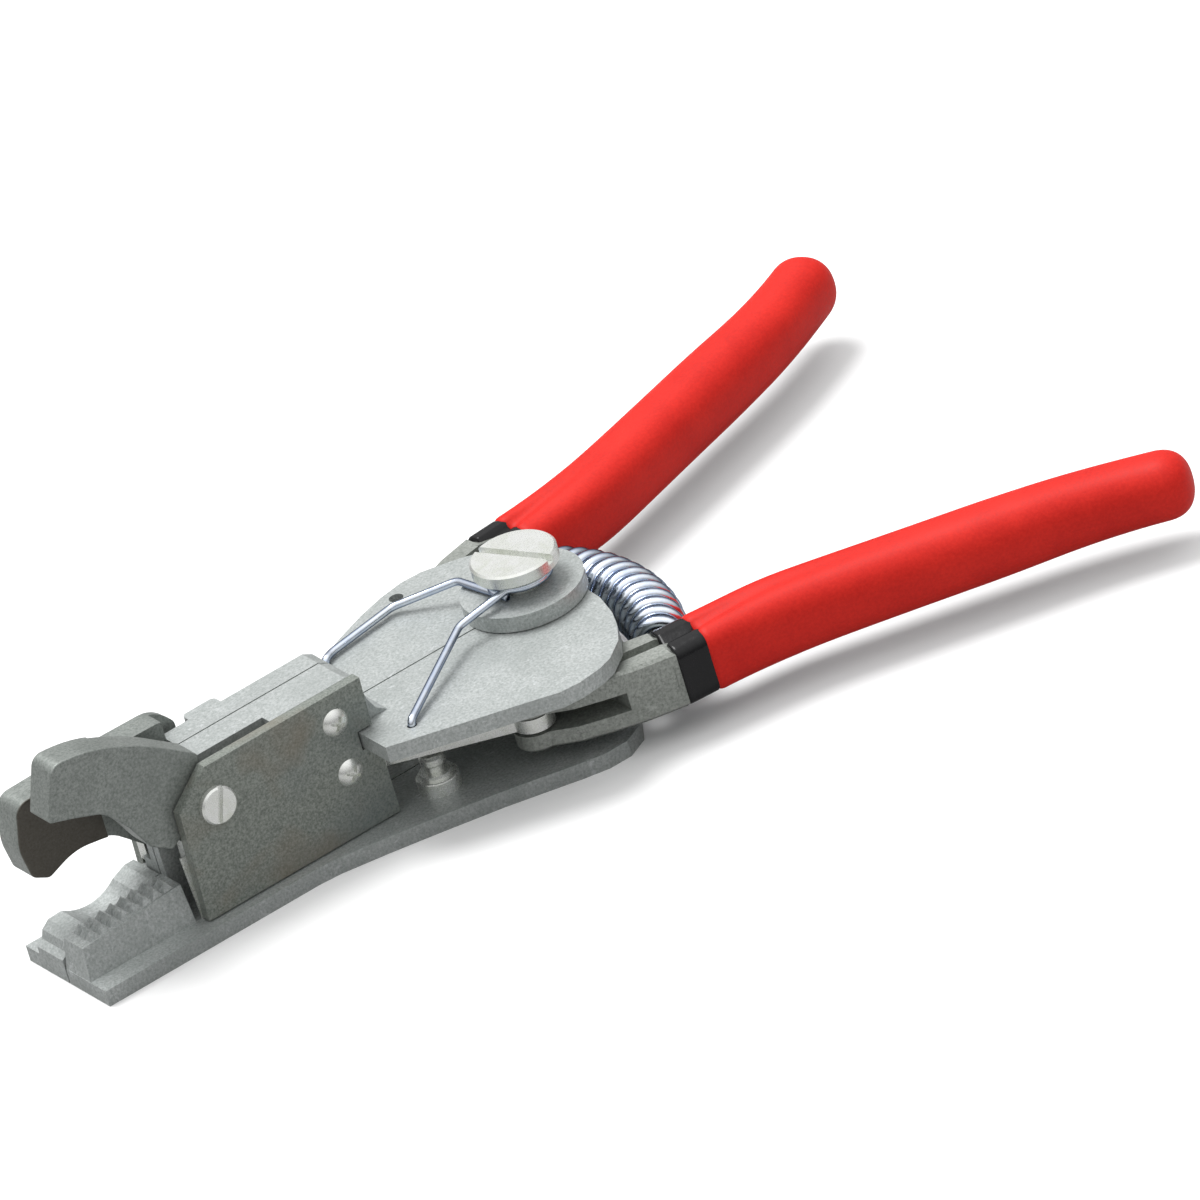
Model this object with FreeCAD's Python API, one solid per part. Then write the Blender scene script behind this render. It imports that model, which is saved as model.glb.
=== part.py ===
import FreeCAD, Part
import math
import os

V = FreeCAD.Vector

# Frame: the main pivot's axis is Z, and the underside of the tool is z = 0. The jaws point along -X
# and the handles along +X. The near half is on the -Y side of the parting plane y = 0, the far half on +Y.

# ---- driving dimensions, in mm ----
plate = 2.8                    # thickness of the top and bottom plates of each frame
top_face = 19.2                # upper face of the top plates
nose_top = 28.0                # upper face of the box-shaped nose of a frame
far_wall_top = 24.2            # upper face of the far frame's outer wall
parting = 0.15                 # half the gap between the two frames
running_gap = 0.2              # axial gap between parts that turn on one another

bolt_r = 3.5                   # shank of the main pivot bolt
bore_play = 0.05               # radial play of everything that turns on a pin or screw
hub_r = 7.6                    # near frame's round eye about the pivot
boss_r = 10.1                  # far frame's round boss, which laps over the near frame's eye
boss_height = 2.7
head_r = 7.1
head_height = 2.5
head_slot = 1.4
head_slot_depth = 1.2

nose_front = -93.2             # front of the lower jaws, at their top edge
front_rake = 1.2               # the front of the lower jaws runs forward by this much to the sole
nose_half = 7.7                # half width of the nose without its side plate
flange_half = 11.8             # half width of the bottom plate under the nose
inner_wall = 1.75              # thickness of the wall beside the parting plane
block_front = -52.0            # solid block behind the jaw pocket
block_rear = -36.0
roof_front = -64.8
roof_width = 5.45
roof_thickness = 2.4
slope_foot = -32.0             # where the nose runs down to the top plate
far_roof_width = 4.6
pocket_front = -74.0
throat_block_width = 4.1
throat_block_top = 11.0

side_plate_thickness = 2.0
side_plate_front = -72.3
side_plate_sole = 3.1
side_gap = 0.05
strip_front = -73.6             # thin strip beside the near side plate
strip_width = 2.4
strip_top = 14.4
strip_thickness = 0.27

jaw_pivot_x = -65.7
jaw_pivot_z = 21.0
jaw_screw_r = 2.0
jaw_screw_head_r = 3.2
jaw_hub_r = 4.3
jaw_inner = 2.2                # inner face of a jaw's eye, from the parting plane
jaw_outer = 7.4                # outer face of a jaw
jaw_nose_inner = 1.4           # inner face of a jaw ahead of the frame's wall
drive_arm = 7.6                # jaw pivot to drive pin
drive_pin_r = 1.2
near_jaw_travel = 45.0
far_jaw_travel = 22.5
link_travel = 5.9              # stroke of a link over a full squeeze
jaw_arm_outer = 3.7            # outer face of the thin arm that carries the drive pin

plate_screw_head_r = 2.3
plate_screw_r = 1.2
plate_screw_x = -42.2
near_screw_z = (23.0, 13.7)
far_screw_z = (20.6, 13.7)

pad_front_z = 7.9              # gripping pad of the near lower jaw
pad_rear_z = 9.2
pad_width = 5.8
tooth_rows = 3
tooth_columns = 8
tooth_height = 1.4

arm_floor = 5.8                # handle arm, from underside to top
arm_top = 15.8
arm_width = 9.4
hub_split = 10.7               # the far hub turns below this height and the near hub above it
handle_hub_r = 8.4
slot_floor = 8.8               # slot in the fork of an arm
slot_roof = 12.0
fork_x = -12.8
fork_y = 17.0
fork_r = 3.7
link_pin_r = 1.6
rib_groove = 2.4
rib_groove_depth = 1.6
handle_travel = 16.0

band_start = 8.0               # distances along X of the dipped coating
grip_start = 13.6
grip_half_width = 5.9
grip_half_height = 6.1
coat = 1.5
band_coat = 0.7
coat_play = 0.12               # air between a coating and the arm inside it

link_thickness = 2.4
link_width = 3.0
link_eye_r = 3.4
link_foot = 9.2
yoke_top = 16.2
yoke_wall = 1.6
yoke_play = 0.35

arch_radius = 36.0             # the handle spring's centre line
arch_centre_x = -19.6
arch_half_angle = 32.2
coil_r = 5.3                   # outside radius at the middle of the arch
coil_end_r = 3.75
peg_r = 2.6
peg_length = 2.6

wire_r = 0.65                  # the frame spring
frame_coil_r = 5.0

guide_x = -27.8                # headed guide stud between the plates
guide_y = 8.9
guide_collar_r = 3.5
guide_neck_r = 1.5
guide_head_r = 2.1

# ---- worked out from the driving dimensions ----
top_floor = top_face - plate
boss_floor = top_face + running_gap
boss_top = boss_floor + boss_height
head_floor = boss_top + 3.1
lower_boss_floor = plate + running_gap
lower_boss_top = arm_floor - running_gap
clear_r = hub_r + 0.4
bore_r = bolt_r + bore_play
side_inner = nose_half + side_gap
side_outer = side_inner + side_plate_thickness
NEAR = -1
FAR = 1
screw_heights = {NEAR: near_screw_z, FAR: far_screw_z}


def prism(points, low, high):
    """A plan outline (x, y) carried from z = low to z = high."""
    wire = Part.makePolygon([V(x, y, low) for x, y in points] + [V(points[0][0], points[0][1], low)])
    return Part.Face(wire).extrude(V(0, 0, high - low))


def side_prism(points, side, inner, outer):
    """A side outline (x, z) carried across one half, from y = inner to y = outer away from the parting plane."""
    start = side * inner
    wire = Part.makePolygon([V(x, start, z) for x, z in points] + [V(points[0][0], start, points[0][1])])
    return Part.Face(wire).extrude(V(0, side * (outer - inner), 0))


def block(x0, x1, y0, y1, z0, z1):
    low = V(min(x0, x1), min(y0, y1), min(z0, z1))
    return Part.makeBox(abs(x1 - x0), abs(y1 - y0), abs(z1 - z0), low)


def post(radius, low, high, x=0.0, y=0.0):
    return Part.makeCylinder(radius, high - low, V(x, y, low))


def cross_pin(radius, side, inner, outer, x, z):
    """A round pin along Y on one half, from y = inner to y = outer away from the parting plane."""
    return Part.makeCylinder(radius, outer - inner, V(x, side * inner, z), V(0, side, 0))


def flip(shape, side):
    """Shapes are drawn on the near half; the far half is their mirror image."""
    if side == NEAR:
        return shape
    return shape.mirror(V(0, 0, 0), V(0, 1, 0))


def joined(first, *others):
    return first.fuse(list(others)).removeSplitter()


def rounded_face(corners, y):
    """A face across Y from corners (x, z, radius): straight edges with a round at each corner."""
    rounds = []
    for index, (x, z, radius) in enumerate(corners):
        at = V(x, y, z)
        before = corners[index - 1]
        after = corners[(index + 1) % len(corners)]
        to_before = (V(before[0], y, before[1]) - at).normalize()
        to_after = (V(after[0], y, after[1]) - at).normalize()
        half = to_before.getAngle(to_after) / 2
        trim = radius / math.tan(half)
        inward = (to_before + to_after).normalize()
        rounds.append((at + to_before * trim, at + inward * (radius / math.sin(half) - radius), at + to_after * trim))
    edges = []
    for index, (start, middle, end) in enumerate(rounds):
        edges.append(Part.Arc(start, middle, end).toShape())
        edges.append(Part.makeLine(end, rounds[(index + 1) % len(rounds)][0]))
    return Part.Face(Part.Wire(edges))


def rounded_side(corners, side, inner, outer, radius):
    """A plate with rounded corners, from y = inner to y = outer, whose two long outlines carry a small round."""
    solid = rounded_face(corners, side * inner).extrude(V(0, side * (outer - inner), 0))
    edges = [e for e in solid.Edges if abs(e.Vertexes[0].Y - e.Vertexes[1].Y) < 1e-6]
    return solid.makeFillet(radius, edges)


# ---- frames ----
def near_plate_outline():
    return [(-38.8, -parting), (-38.8, -17.4), (-15.8, -27.7), (-12.9, -29.1), (-9.3, -29.5),
            (-5.0, -28.9), (-2.3, -27.8), (1.6, -24.4), (4.1, -20.3), (5.8, -16.3), (7.2, -10.6),
            (7.4, -6.0), (6.4, -4.0), (0.0, -parting)]


def far_plate_outline():
    return [(-38.8, parting), (0.0, parting), (11.2, parting), (11.8, 3.3), (11.4, 7.2), (9.6, 12.4),
            (5.6, 17.4), (0.7, 20.3), (-2.5, 21.5), (-5.6, 22.6), (-9.3, 22.8), (-13.8, 21.9),
            (-18.8, 20.2), (-24.5, 17.6), (-30.0, 14.6), (-38.8, 10.4)]


def sole_outline(side):
    points = [(nose_front - front_rake, parting), (nose_front - front_rake, flange_half), (-54.0, flange_half), (-50.0, 12.2), (-42.0, 14.1),
              (-36.4, 15.6), (-29.8, 17.5), (-23.3, 19.4), (-17.1, 21.6), (-10.7, 23.9), (-6.5, 25.1), (-2.4, 25.1),
              (1.6, 22.8), (4.4, 18.0), (6.2, 11.0), (6.6, 4.2), (0.0, parting)]
    return [(x, side * y) for x, y in points]


def eye(side, outline, low, high):
    """A plate of one frame: the near one ends in an eye on the bolt, the far one is cut clear of it."""
    sheet = prism(outline, low, high)
    if side == NEAR:
        return joined(sheet, post(hub_r, low, high))
    return sheet.cut(post(clear_r, low - 1, high + 1))


def nose(side):
    """The box-shaped front of a frame: inner wall, roof strip, rear block and the slope down to the plate."""
    wall = side_prism([(pocket_front, plate - 0.5), (pocket_front, 15.0), (roof_front, nose_top - 2.4),
                       (roof_front, nose_top), (block_front, nose_top), (block_front, plate - 0.5)],
                      side, parting, parting + inner_wall)
    reach = roof_width if side == NEAR else far_roof_width
    roof = block(roof_front, block_front + 1, side * parting, side * (parting + reach),
                 nose_top - roof_thickness, nose_top)
    body = block(block_front, block_rear, side * parting, side * nose_half, plate - 0.5, top_face + 3)
    crown_top = [(block_front, top_face), (block_front, nose_top), (block_rear - 1.5, nose_top),
                 (block_rear + 0.2, nose_top - 0.9), (-34.9, 22.6), (-33.8, 20.4), (slope_foot, top_face),
                 (slope_foot, top_face - 1)]
    crown_width = nose_half if side == NEAR else parting + far_roof_width
    crown = side_prism(crown_top, side, parting, crown_width)
    solid = joined(wall, roof, body, crown)
    if side == FAR:
        shoulder = side_prism([(block_front, top_face), (block_front, far_wall_top), (block_rear, far_wall_top),
                               (slope_foot, top_face)], side, parting, nose_half)
        lug = block(-59.4, -53.2, side * parting, side * 6.9, far_wall_top - 0.5, nose_top)
        corners = [e for e in lug.Edges if abs(e.Vertexes[0].Z - e.Vertexes[1].Z) > 1 and e.CenterOfMass.y > 5]
        lug = lug.makeFillet(0.9, corners)
        solid = joined(solid, shoulder, lug)
    tunnel = block(block_front - 1, block_rear + 1, side * (parting + inner_wall), side * (nose_half + 1),
                   slot_floor - 0.2, slot_roof + 0.3)
    return solid.cut(tunnel)


def gripping_jaw():
    """The near lower jaw: a sloping pad with rows of pyramids for teeth."""
    rise = (pad_rear_z - pad_front_z) / (pocket_front - nose_front)
    foot_front = nose_front - front_rake
    section = [V(foot_front, -parting, plate - 0.5), V(nose_front, -parting, pad_front_z),
               V(nose_front, -pad_width, pad_front_z), V(foot_front, -nose_half + 0.3, plate - 0.5)]
    length = pocket_front - nose_front
    rear = [V(pocket_front, p.y, p.z + (rise * length if p.z > plate else 0)) for p in section]
    wires = [Part.makePolygon(ring + [ring[0]]) for ring in (section, rear)]
    solid = Part.makeLoft(wires, True, True)
    pitch_x = (length - 2.6) / tooth_columns
    pitch_y = (pad_width - 0.7) / tooth_rows
    teeth = []
    for column in range(tooth_columns):
        for row in range(tooth_rows):
            x = nose_front + 1.6 + pitch_x * (column + 0.5)
            y = -(parting + 0.25 + pitch_y * (row + 0.5))
            foot = pad_front_z + rise * (x - nose_front) - 0.25
            corners = [V(x + a * pitch_x / 2, y + b * pitch_y / 2, foot) for a, b in
                       ((-1, -1), (1, -1), (1, 1), (-1, 1))]
            tip = V(x, y, foot + 0.25 + tooth_height)
            faces = [Part.Face(Part.makePolygon([corners[i], corners[(i + 1) % 4], tip, corners[i]]))
                     for i in range(4)]
            faces.append(Part.Face(Part.makePolygon(corners + [corners[0]])))
            teeth.append(Part.Solid(Part.Shell(faces)))
    return solid.fuse(teeth)


def seat_jaw():
    """The far lower jaw: a smooth shallow trough between two lips."""
    trough = Part.Arc(V(-88.6, parting, 7.6), V(-83.2, parting, 6.1), V(-78.6, parting, 8.0)).toShape()
    points = [(-78.6, 8.0), (-76.0, 9.1), (-74.2, 9.1), (-73.4, 7.6), (-71.0, 7.6), (-71.0, plate - 0.5),
              (nose_front - front_rake, plate - 0.5), (nose_front - front_rake, 4.2), (nose_front, 5.0),
              (nose_front + 0.5, 6.4), (nose_front + 2.0, 7.5), (-88.6, 7.6)]
    outline = Part.makePolygon([V(x, parting, z) for x, z in points])
    face = Part.Face(Part.Wire([trough] + outline.Edges))
    return face.extrude(V(0, nose_half - parting, 0))


def frame(side):
    outline = near_plate_outline() if side == NEAR else far_plate_outline()
    upper = eye(side, outline, top_floor, top_face)
    lower = eye(side, sole_outline(side), 0.0, plate)
    front = nose(side)
    jaw = gripping_jaw() if side == NEAR else seat_jaw()
    web = side_prism([(block_rear - 1, plate - 0.5), (block_rear - 1, top_face - 0.5), (block_rear + 2.2, top_face - 0.5),
                      (block_rear + 2.2, plate - 0.5)], side, parting, parting + inner_wall)
    pieces = [upper, lower, front, jaw, web]
    if side == FAR:
        pieces.append(block(pocket_front, pocket_front + 2.0, parting, throat_block_width, plate - 0.5, throat_block_top))
        half = block(-boss_r - 1, boss_r + 1, parting, boss_r + 1, 0, nose_top)
        pieces.append(post(boss_r, boss_floor, boss_top))
        pieces.append(post(boss_r, top_face - 0.1, boss_floor).cut(post(clear_r, 0, nose_top)).common(half))
        pieces.append(post(boss_r, lower_boss_floor, lower_boss_top))
        pieces.append(post(boss_r, plate - 0.1, lower_boss_floor).cut(post(clear_r, 0, nose_top)).common(half))
    solid = joined(*pieces)
    solid = solid.cut(post(bore_r, -1, nose_top + 1))
    solid = solid.cut(post(guide_neck_r, -1, plate + 1, guide_x, side * guide_y))
    pivot_hole = cross_pin(jaw_screw_r, side, parting - 1, nose_half + 1, jaw_pivot_x, jaw_pivot_z)
    solid = solid.cut(pivot_hole)
    for z in screw_heights[side]:
        solid = solid.cut(cross_pin(plate_screw_r, side, nose_half - 3.4, nose_half + 1, plate_screw_x, z))
    if side == FAR:
        solid = solid.cut(post(1.2, top_floor - 1, top_face + 1, -12.3, 19.6))
        spring_hole = (-30.5, 12.6)
    else:
        spring_hole = (-32.5, -15.6)
    return solid.cut(post(wire_r + 0.15, top_floor - 1, top_face + 1, *spring_hole))


def side_plate(side):
    """The flat cover over the jaw pocket, notched where the near frame's top plate passes through it."""
    top = nose_top if side == NEAR else far_wall_top
    corner = 5.4 if side == NEAR else 3.0
    points = [(side_plate_front - 0.6, side_plate_sole), (side_plate_front, top - corner),
              (side_plate_front + 1.0 + corner, top)]
    if side == NEAR:
        points += [(block_rear, top), (block_rear - 0.3, top_face + 0.3), (-39.1, top_face + 0.3),
                   (-39.1, top_floor - 0.3), (block_rear, top_floor - 0.3)]
    else:
        points += [(-39.4, top), (-39.4, top_floor - 0.3), (block_rear, top_floor - 0.3)]
    points.append((block_rear, side_plate_sole))
    solid = side_prism(points, side, side_inner, side_outer)
    solid = solid.cut(cross_pin(jaw_screw_r, side, nose_half - 1, side_outer + 1, jaw_pivot_x, jaw_pivot_z))
    for z in screw_heights[side]:
        solid = solid.cut(cross_pin(plate_screw_r, side, nose_half - 1, side_outer + 1, plate_screw_x, z))
    return solid


def jaw_screw(side):
    """The slotted screw that a jaw turns on."""
    low = 0.4
    screw = cross_pin(jaw_screw_r, side, parting + low, side_outer, jaw_pivot_x, jaw_pivot_z)
    head = cross_pin(jaw_screw_head_r, side, side_outer, side_outer + 1.1, jaw_pivot_x, jaw_pivot_z)
    rim = [e for e in head.Edges if abs(abs(e.CenterOfMass.y) - side_outer - 1.1) < 1e-6]
    head = head.makeChamfer(0.3, rim)
    slot = block(jaw_pivot_x - 0.45, jaw_pivot_x + 0.45, side * (side_outer + 0.5), side * (side_outer + 2),
                 jaw_pivot_z - 4, jaw_pivot_z + 4)
    slot.rotate(V(jaw_pivot_x, 0, jaw_pivot_z), V(0, 1, 0), 18)
    return joined(screw, head).cut(slot)


def plate_screws(side):
    """Cross-recessed screws with domed heads that hold the side plate."""
    screws = []
    for z in screw_heights[side]:
        shank = cross_pin(plate_screw_r, side, nose_half - 3.2, side_outer, plate_screw_x, z)
        dome_r = (plate_screw_head_r ** 2 + 1.2 ** 2) / (2 * 1.2)
        ball = Part.makeSphere(dome_r, V(plate_screw_x, side * (side_outer + 1.2 - dome_r), z))
        head = ball.common(cross_pin(plate_screw_head_r, side, side_outer, side_outer + 2, plate_screw_x, z))
        for turn in (0, 90):
            cut = block(plate_screw_x - 0.3, plate_screw_x + 0.3, side * (side_outer + 0.45),
                        side * (side_outer + 2), z - 1.3, z + 1.3)
            cut.rotate(V(plate_screw_x, 0, z), V(0, 1, 0), turn + 30)
            head = head.cut(cut)
        screws.append(joined(shank, head))
    return Part.makeCompound(screws)


def guide_stud(side):
    """A stepped and headed stud on the bottom plate, under the link."""
    foot = post(guide_neck_r, 0.0, plate, guide_x, side * guide_y)
    collar = post(guide_collar_r, plate, 5.2, guide_x, side * guide_y)
    rim = [e for e in collar.Edges if abs(e.CenterOfMass.z - 5.2) < 1e-6]
    collar = collar.makeFillet(0.3, rim)
    neck = post(guide_neck_r, 5.1, 7.2, guide_x, side * guide_y)
    neck = neck.fuse(post(guide_head_r + 0.6, 5.1, 6.0, guide_x, side * guide_y))
    head = post(guide_head_r, 7.2, link_foot - 0.3, guide_x, side * guide_y)
    rims = [e for e in head.Edges if e.Curve.TypeId == "Part::GeomCircle"]
    return joined(foot, collar, neck, head.makeChamfer(0.35, rims))


def guide_strip():
    """The thin bright strip that stands on the sole along the front edge of the near side plate."""
    lean = 0.6
    points = [(strip_front + lean, plate), (strip_front, strip_top), (strip_front + strip_width, strip_top),
              (strip_front + strip_width + lean, plate)]
    return side_prism(points, NEAR, side_inner - 0.03 - strip_thickness, side_inner - 0.03)


def pivot_bolt():
    """The shouldered bolt that everything turns on, with a wide slotted head."""
    shank = post(bolt_r, 0.0, head_floor)
    head = post(head_r, head_floor, head_floor + head_height)
    rims = [e for e in head.Edges if e.Curve.TypeId == "Part::GeomCircle"]
    head = head.makeChamfer(0.35, rims)
    top = head_floor + head_height
    slot = block(-head_r - 1, head_r + 1, -head_slot / 2, head_slot / 2, top - head_slot_depth, top + 1)
    slot.rotate(V(0, 0, 0), V(0, 0, 1), -66)
    return joined(shank, head).cut(slot)


# ---- upper jaws ----
def jaw_arm(start_angle):
    """The thin arm below the jaw's eye that carries the drive pin, at its rest angle."""
    pin_x, pin_z = drive_pin_place(start_angle)
    dx = pin_x - jaw_pivot_x
    dz = pin_z - jaw_pivot_z
    length = math.hypot(dx, dz)
    ax, az = -dz / length * 2.3, dx / length * 2.3
    strap = side_prism([(jaw_pivot_x + ax, jaw_pivot_z + az), (pin_x + ax, pin_z + az),
                        (pin_x - ax, pin_z - az), (jaw_pivot_x - ax, jaw_pivot_z - az)],
                       NEAR, jaw_inner, jaw_arm_outer)
    return joined(strap, cross_pin(2.3, NEAR, jaw_inner, jaw_arm_outer, pin_x, pin_z))


def drive_pin_place(travel):
    angle = math.radians(travel / 2)
    return jaw_pivot_x - drive_arm * math.sin(angle), jaw_pivot_z - drive_arm * math.cos(angle)


def gripping_upper_outline():
    """The near upper jaw, wide open, as (x, z, radius): a blunt nose and a face that runs back into the throat."""
    return [(-92.9, 31.6, 0.5), (-89.7, 40.5, 2.3), (-82.6, 39.9, 24.0), (-73.8, 35.7, 40.0), (-65.1, 29.2, 1.5),
            (-65.9, 16.2, 1.0), (-73.0, 15.6, 1.2), (-77.4, 18.6, 1.4), (-79.9, 23.4, 4.0), (-83.4, 28.2, 5.0),
            (-88.6, 30.2, 6.0)]


def hooked_upper_outline():
    """The far upper jaw, as (x, z, radius): a deep hook with a shallow arch behind its tip."""
    return [(-91.5, 17.6, 1.3), (-94.3, 19.1, 1.5), (-95.2, 24.6, 8.0), (-93.4, 32.0, 2.6), (-84.0, 32.2, 20.0),
            (-64.2, 31.8, 5.0), (-61.2, 28.4, 2.0), (-62.0, 17.0, 2.0), (-69.0, 12.6, 1.5), (-73.8, 13.6, 1.2),
            (-79.0, 18.6, 6.0), (-86.0, 19.7, 10.0)]


def upper_jaw(side):
    outline = gripping_upper_outline() if side == NEAR else hooked_upper_outline()
    travel = near_jaw_travel if side == NEAR else far_jaw_travel
    body = rounded_side(outline, NEAR, jaw_nose_inner, jaw_outer, 0.35)
    body = body.cut(block(-80.0, -50, -jaw_inner, 0, 0, 40.0))
    body = body.cut(block(roof_front - 0.4, -50, -roof_width - 0.5, 0, 0, 40.0))
    reach = math.radians(62)
    edge = (jaw_pivot_x - 20 * math.sin(reach), jaw_pivot_z - 20 * math.cos(reach))
    behind = [(jaw_pivot_x, jaw_pivot_z), edge, (edge[0], 0), (-50, 0), (-50, jaw_pivot_z)]
    body = body.cut(side_prism(behind, NEAR, jaw_arm_outer, jaw_outer + 1))
    eye_round = cross_pin(jaw_hub_r, NEAR, jaw_inner, jaw_outer, jaw_pivot_x, jaw_pivot_z)
    solid = joined(body, eye_round, jaw_arm(travel))
    solid = solid.cut(cross_pin(jaw_screw_r + bore_play, NEAR, 0, jaw_outer + 1, jaw_pivot_x, jaw_pivot_z))
    pin_x, pin_z = drive_pin_place(travel)
    solid = solid.cut(cross_pin(drive_pin_r, NEAR, 0, jaw_outer + 1, pin_x, pin_z))
    return flip(solid, side)


def drive_pin(side):
    travel = near_jaw_travel if side == NEAR else far_jaw_travel
    pin_x, pin_z = drive_pin_place(travel)
    return cross_pin(drive_pin_r, side, jaw_inner, jaw_outer - 0.2, pin_x, pin_z)


# ---- links ----
def link(side):
    """A flat bar from the fork of a handle to the jaw's drive pin, with an upright slotted yoke at its front."""
    travel = near_jaw_travel if side == NEAR else far_jaw_travel
    pin_x, pin_z = drive_pin_place(travel)
    centre = [(-62.0, -5.75), (block_front, -4.8), (block_rear, -3.9), (-33.5, -4.8), (fork_x, -fork_y)]
    half = link_width / 2
    left = []
    right = []
    for index, (x, y) in enumerate(centre):
        before = centre[max(index - 1, 0)]
        after = centre[min(index + 1, len(centre) - 1)]
        length = math.hypot(after[0] - before[0], after[1] - before[1])
        nx, ny = -(after[1] - before[1]) / length * half, (after[0] - before[0]) / length * half
        left.append((x + nx, y + ny))
        right.append((x - nx, y - ny))
    bar = prism(left + right[::-1], link_foot, link_foot + link_thickness)
    rear_eye = post(link_eye_r, link_foot, link_foot + link_thickness, fork_x, -fork_y)
    lost_motion = max(0.0, link_travel - 2 * drive_arm * math.sin(math.radians(travel / 2)))
    front = pin_x - lost_motion - drive_pin_r - yoke_play - yoke_wall
    rear = pin_x + drive_pin_r + yoke_play + yoke_wall
    yoke = block(front, rear, -4.4, -6.8, link_foot, yoke_top)
    neck = block(rear - 0.5, -61.5, -4.4, -6.8, link_foot, link_foot + link_thickness)
    window = block(front + yoke_wall, rear - yoke_wall, -4, -8,
                   jaw_pivot_z - drive_arm - drive_pin_r - yoke_play, yoke_top + 1)
    solid = joined(bar, rear_eye, yoke, neck).cut(window)
    solid = solid.cut(post(link_pin_r + bore_play, 0, nose_top, fork_x, -fork_y))
    return flip(solid, side)


def link_pin(side):
    """The riveted pin through the fork and the link's eye."""
    return post(link_pin_r, arm_floor + 0.2, arm_top - 0.1, fork_x, side * fork_y)


# ---- handles ----
def handle_line(s):
    """The handle's centre line in plan for a distance s along X, near half: a gentle S that flares at its end."""
    bend = 3.0 * math.log(1 + math.exp((s - 27.0) / 3.0))
    flare = 0.0065 * max(s - 68.0, 0.0) ** 2
    return -(26.5 + 0.12 * (s - 14.0) + 0.25 * bend + flare)


def handle_heading(s):
    """Unit direction of the centre line at s."""
    dy = handle_line(s + 0.5) - handle_line(s - 0.5)
    length = math.hypot(1.0, dy)
    return 1.0 / length, dy / length


def handle_section(s, half_width, half_height, corner):
    """A rounded box section across the handle at s. A corner of 2 gives an ellipse, and more gives a fuller box."""
    middle = (arm_floor + arm_top) / 2
    hx, hy = handle_heading(s)
    ring = []
    steps = 16
    for i in range(steps):
        angle = 2 * math.pi * (i + 0.5) / steps
        c, d = math.cos(angle), math.sin(angle)
        across = half_width * math.copysign(abs(c) ** (2 / corner), c)
        up = half_height * math.copysign(abs(d) ** (2 / corner), d)
        ring.append(V(s - hy * across, handle_line(s) + hx * across, middle + up))
    curve = Part.BSplineCurve()
    curve.interpolate(ring, PeriodicFlag=True)
    return Part.Wire(curve.toShape())


def handle_loft(stations):
    """A solid through sections given as (s, half width, half height, corner)."""
    return Part.makeLoft([handle_section(*station) for station in stations], True, False)


grip_stations = [(grip_start, 0.90, 0.86, 3.0), (grip_start + 2.5, 1.0, 0.96, 2.8), (30.0, 1.04, 1.04, 2.5),
                 (45.0, 1.04, 1.04, 2.4), (60.0, 1.0, 1.0, 2.4), (75.0, 0.94, 0.94, 2.4),
                 (84.0, 0.88, 0.90, 2.3), (88.0, 0.76, 0.80, 2.2), (90.0, 0.52, 0.58, 2.1)]
tang_end = 82.0


def tang_stations(extra):
    """The arm's tang inside the coating, everywhere thinner than the coating by the same wall."""
    first = [(grip_start - 6.5, arm_width / 2 + extra, (arm_top - arm_floor) / 2 + extra, 4.0),
             (grip_start, grip_half_width * 0.90 - coat + extra, grip_half_height * 0.86 - coat + extra, 3.2)]
    rest = [(s, grip_half_width * w - coat + extra, grip_half_height * h - coat + extra, corner)
            for s, w, h, corner in grip_stations[1:6]]
    last = (tang_end, grip_half_width * 0.80 - coat + extra, grip_half_height * 0.82 - coat + extra, 2.4)
    return first + rest + [last]


def grip_solid():
    stations = [(s, grip_half_width * w, grip_half_height * h, corner) for s, w, h, corner in grip_stations]
    return handle_loft(stations)


def arm_outline():
    """Plan of the full-height arm from the fork to the coating, near half."""
    hx, hy = handle_heading(band_start)
    y_end = handle_line(band_start)
    half = arm_width / 2
    outer_end = (band_start + hy * half, y_end - hx * half)
    inner_end = (band_start - hy * half, y_end + hx * half)
    tip = [(fork_x + fork_r * math.cos(math.radians(a)), -fork_y + fork_r * math.sin(math.radians(a)))
           for a in range(60, 271, 15)]
    return tip + [(-9.0, -23.9), (-4.4, -26.2), (1.0, -28.6), outer_end, inner_end, (4.0, -19.6), (-3.0, -16.9),
                  (-8.0, -14.2)]


def spring_peg(radius):
    """The peg that an end of the handle spring sits on, rooted in the near arm."""
    angle = math.radians(arch_half_angle)
    foot = V(arch_centre_x + arch_radius * math.cos(angle), -arch_radius * math.sin(angle), (arm_floor + arm_top) / 2)
    outward = V(-math.sin(angle), -math.cos(angle), 0)
    return Part.makeCylinder(radius, peg_length + 3.4, foot - outward * peg_length, outward)


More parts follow.
